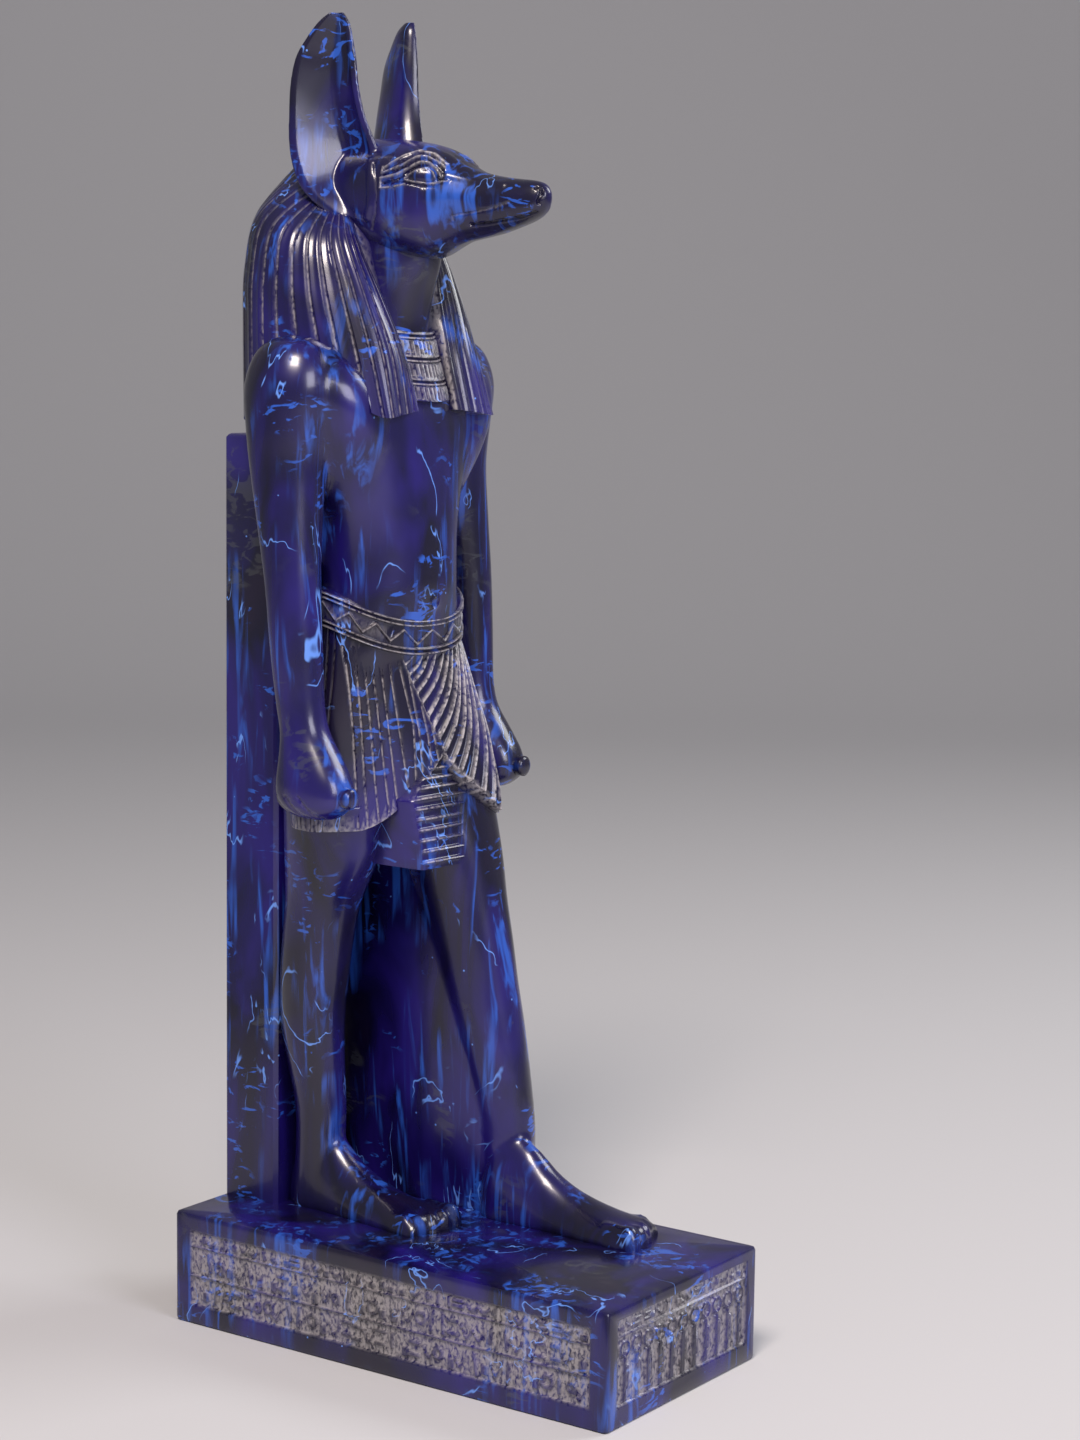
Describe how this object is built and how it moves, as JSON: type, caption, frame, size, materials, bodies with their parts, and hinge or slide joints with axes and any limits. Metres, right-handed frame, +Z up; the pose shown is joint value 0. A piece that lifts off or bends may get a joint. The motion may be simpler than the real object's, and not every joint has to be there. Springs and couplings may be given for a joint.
{
  "type": "jackal-headed god statue",
  "caption": "Cast resin statue of a striding jackal-headed figure with wig and pleated kilt, a back pillar and a carved rectangular plinth.",
  "frame": {"origin": "centre of the bounding box, on the underside of the plinth", "axes": "+Z up along the figure's height, -Y the way the figure looks and walks, +X to its own left"},
  "size_m": [0.1028, 0.1626, 0.4],
  "materials": {
    "blue_marbled_resin": "polished cast resin, deep ultramarine with brighter blue marbling, and pale dust left in the carved lines"
  },
  "bodies": {
    "root": {"anubis_statue": "blue_marbled_resin"}
  },
  "joints": []
}
